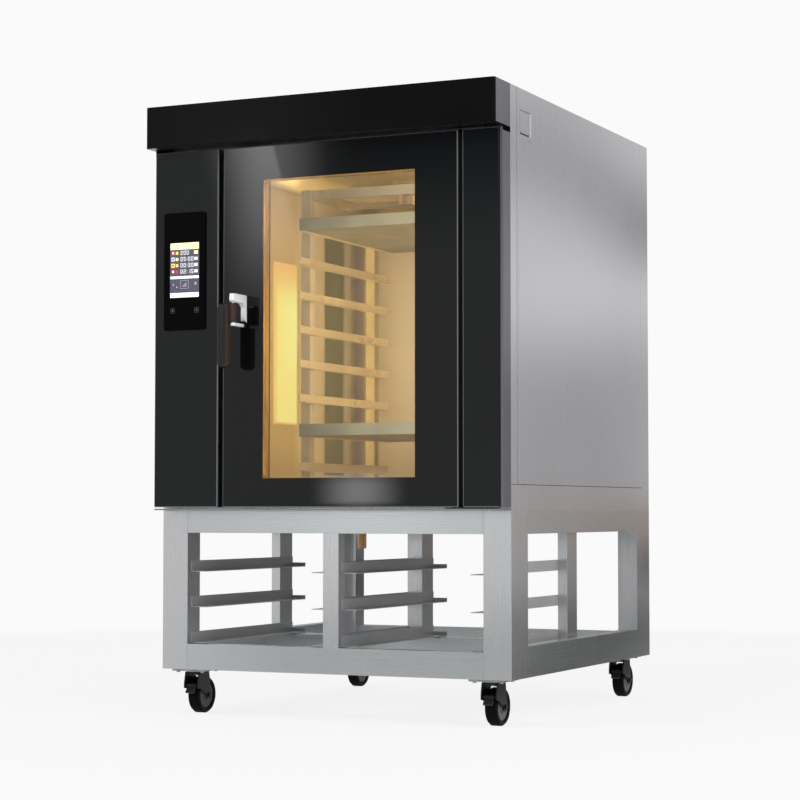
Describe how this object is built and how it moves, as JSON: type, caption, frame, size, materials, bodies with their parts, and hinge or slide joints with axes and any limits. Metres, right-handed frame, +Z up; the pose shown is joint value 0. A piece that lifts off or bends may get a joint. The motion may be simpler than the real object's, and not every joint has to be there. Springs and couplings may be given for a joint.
{
  "type": "rotating rack oven",
  "caption": "Rotating rack oven with a glazed door, turning tray rack, rear fan and touch panel, on an open stand with tray runners and braked castors.",
  "frame": {"origin": "on the floor, at the middle of the whole footprint", "axes": "+Z up, the door faces -Y, +X to the right of someone who faces the door"},
  "size_m": [1.04, 1.2779, 1.73],
  "materials": {
    "stainless": "brushed",
    "bright_stainless": "fine brushed",
    "black_fascia": "satin black",
    "column_glass": "glossy charcoal",
    "touch_glass": "gloss black",
    "display": "lit screen",
    "door_paint": "satin black",
    "outer_glass": "clear tempered",
    "inner_glass": "clear tempered",
    "seal": "matt silicone",
    "wool": "mineral wool",
    "heater": "heat darkened",
    "motor": "grey enamel",
    "lamp_glass": "warm lit glass",
    "tray": "worn",
    "brass": "dull",
    "gland": "moulded",
    "bracket_paint": "satin black",
    "chrome": "polished",
    "grip": "satin moulded",
    "zinc": "dull zinc",
    "castor_paint": "satin black",
    "tyre": "moulded"
  },
  "bodies": {
    "oven": {"stand_posts": "stainless", "stand_rails": "stainless", "stand_runners": "stainless", "base_panel": "stainless", "side_panel_left": "stainless", "side_panel_right": "stainless", "back_panel": "stainless", "roof_panel": "stainless", "front_frame": "stainless", "sill_strip": "bright_stainless", "fascia_hood": "stainless", "fascia_front": "black_fascia", "column_boxes": "stainless", "column_glass": "column_glass", "touch_panel": "touch_glass", "display": "display", "cavity_sides": "bright_stainless", "cavity_back": "bright_stainless", "cavity_roof": "bright_stainless", "cavity_floor": "bright_stainless", "air_guide": "bright_stainless", "insulation": "wool", "fan_motor": "motor", "heating_elements": "heater", "lamp_housings": "stainless", "lamp_glasses": "lamp_glass", "rack_gearmotor": "motor", "rack_bearings": "stainless", "flue_collar": "stainless", "water_valve": "brass", "drain_pipe": "brass", "cable_gland": "gland", "hinge_brackets": "bracket_paint", "castor_plates": "zinc"},
    "door": {"door_frame": "door_paint", "door_outer_glass": "outer_glass", "door_inner_glass": "inner_glass", "door_seal": "seal", "handle_bracket": "chrome"},
    "handle": {"handle_grip": "grip"},
    "latch": {"latch_bolt": "stainless"},
    "rack": {"rack_shaft": "bright_stainless", "rack_frame": "bright_stainless", "rack_rails": "bright_stainless"},
    "upper_tray": {"tray_upper": "tray"},
    "lower_tray": {"tray_lower": "tray"},
    "fan": {"fan_impeller": "bright_stainless"},
    "damper": {"damper_flap": "bright_stainless"},
    "castor_front_left": {"castor_fork_front_left": "castor_paint"},
    "wheel_front_left": {"castor_wheel_front_left": "tyre"},
    "pedal_front_left": {"brake_pedal_front_left": "castor_paint"},
    "castor_front_right": {"castor_fork_front_right": "castor_paint"},
    "wheel_front_right": {"castor_wheel_front_right": "tyre"},
    "pedal_front_right": {"brake_pedal_front_right": "castor_paint"},
    "castor_rear_left": {"castor_fork_rear_left": "castor_paint"},
    "wheel_rear_left": {"castor_wheel_rear_left": "tyre"},
    "pedal_rear_left": {"brake_pedal_rear_left": "castor_paint"},
    "castor_rear_right": {"castor_fork_rear_right": "castor_paint"},
    "wheel_rear_right": {"castor_wheel_rear_right": "tyre"},
    "pedal_rear_right": {"brake_pedal_rear_right": "castor_paint"}
  },
  "joints": [
    {"name": "door_swing", "type": "hinge", "parent": "oven", "child": "door", "pos_m": [0.375, -0.5335, 1.06], "axis": [0, 0, 1], "range_deg": [0, 110]},
    {"name": "handle_pull", "type": "hinge", "parent": "door", "child": "handle", "pos_m": [-0.235, -0.618, 1.09], "axis": [0, 0, 1], "range_deg": [0, 35]},
    {"name": "latch_slide", "type": "slide", "parent": "door", "child": "latch", "axis": [1, 0, 0], "range_m": [0, 0.014]},
    {"name": "rack_turn", "type": "hinge", "parent": "oven", "child": "rack", "pos_m": [0, -0.001, 1], "axis": [0, 0, 1], "continuous": true},
    {"name": "upper_tray_slide", "type": "slide", "parent": "rack", "child": "upper_tray", "axis": [0, -1, 0], "range_m": [0, 0.04]},
    {"name": "lower_tray_slide", "type": "slide", "parent": "rack", "child": "lower_tray", "axis": [0, -1, 0], "range_m": [0, 0.04]},
    {"name": "fan_turn", "type": "hinge", "parent": "oven", "child": "fan", "pos_m": [0, 0.474, 1.056], "axis": [0, 1, 0], "continuous": true},
    {"name": "damper_turn", "type": "hinge", "parent": "oven", "child": "damper", "pos_m": [0.27, 0.289, 1.683], "axis": [1, 0, 0], "range_deg": [0, 90]},
    {"name": "swivel_front_left", "type": "hinge", "parent": "oven", "child": "castor_front_left", "pos_m": [-0.445, -0.441, 0.112], "axis": [0, 0, 1], "continuous": true},
    {"name": "roll_front_left", "type": "hinge", "parent": "castor_front_left", "child": "wheel_front_left", "pos_m": [-0.445, -0.414, 0.05], "axis": [1, 0, 0], "continuous": true},
    {"name": "brake_front_left", "type": "hinge", "parent": "castor_front_left", "child": "pedal_front_left", "pos_m": [-0.445, -0.467, 0.078], "axis": [1, 0, 0], "range_deg": [-25, 0]},
    {"name": "swivel_front_right", "type": "hinge", "parent": "oven", "child": "castor_front_right", "pos_m": [0.445, -0.441, 0.112], "axis": [0, 0, 1], "continuous": true},
    {"name": "roll_front_right", "type": "hinge", "parent": "castor_front_right", "child": "wheel_front_right", "pos_m": [0.445, -0.414, 0.05], "axis": [1, 0, 0], "continuous": true},
    {"name": "brake_front_right", "type": "hinge", "parent": "castor_front_right", "child": "pedal_front_right", "pos_m": [0.445, -0.467, 0.078], "axis": [1, 0, 0], "range_deg": [-25, 0]},
    {"name": "swivel_rear_left", "type": "hinge", "parent": "oven", "child": "castor_rear_left", "pos_m": [-0.445, 0.549, 0.112], "axis": [0, 0, 1], "continuous": true},
    {"name": "roll_rear_left", "type": "hinge", "parent": "castor_rear_left", "child": "wheel_rear_left", "pos_m": [-0.445, 0.576, 0.05], "axis": [1, 0, 0], "continuous": true},
    {"name": "brake_rear_left", "type": "hinge", "parent": "castor_rear_left", "child": "pedal_rear_left", "pos_m": [-0.445, 0.523, 0.078], "axis": [1, 0, 0], "range_deg": [-25, 0]},
    {"name": "swivel_rear_right", "type": "hinge", "parent": "oven", "child": "castor_rear_right", "pos_m": [0.445, 0.549, 0.112], "axis": [0, 0, 1], "continuous": true},
    {"name": "roll_rear_right", "type": "hinge", "parent": "castor_rear_right", "child": "wheel_rear_right", "pos_m": [0.445, 0.576, 0.05], "axis": [1, 0, 0], "continuous": true},
    {"name": "brake_rear_right", "type": "hinge", "parent": "castor_rear_right", "child": "pedal_rear_right", "pos_m": [0.445, 0.523, 0.078], "axis": [1, 0, 0], "range_deg": [-25, 0]}
  ],
  "couplings": [
    {"joint": "latch_slide", "follows": "handle_pull", "m_per_rad": 0.0229}
  ]
}
